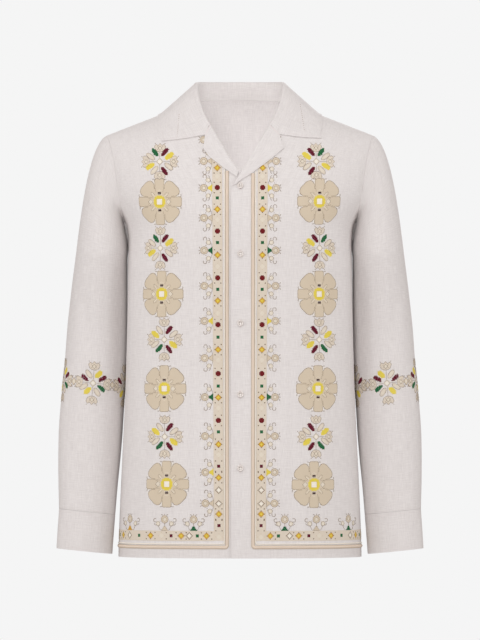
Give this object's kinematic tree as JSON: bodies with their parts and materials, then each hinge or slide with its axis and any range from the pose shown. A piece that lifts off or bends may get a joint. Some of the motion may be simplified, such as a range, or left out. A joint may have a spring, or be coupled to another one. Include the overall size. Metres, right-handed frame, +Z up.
{
  "type": "embroidered long-sleeved shirt",
  "caption": "Long-sleeved camp collar shirt in its hollow worn form, with cross-stitch sprigs, rosettes and stars, braid edging down the front and hem, and small round buttons.",
  "frame": {"origin": "the base of the neck, midway between the shoulders, where the wearer holds the shirt up", "axes": "+X towards the wearer's left, -Y out of the front, +Z up"},
  "size_m": [0.5864, 0.263, 0.7602],
  "materials": {
    "shirt_cloth": "matt, fine plain weave",
    "braid": "soft satin cord",
    "button_shell": "pale and slightly translucent"
  },
  "bodies": {
    "root": {"back": "shirt_cloth", "front_right": "shirt_cloth", "front_left": "shirt_cloth", "lapel_right": "shirt_cloth", "lapel_left": "shirt_cloth", "collar": "shirt_cloth", "sleeve_right": "shirt_cloth", "sleeve_left": "shirt_cloth", "cuff_right": "shirt_cloth", "cuff_left": "shirt_cloth", "edging_right": "braid", "edging_left": "braid", "button_1": "button_shell", "button_2": "button_shell", "button_3": "button_shell", "button_4": "button_shell", "button_5": "button_shell", "cuff_button_right": "button_shell", "cuff_button_left": "button_shell"}
  },
  "joints": []
}
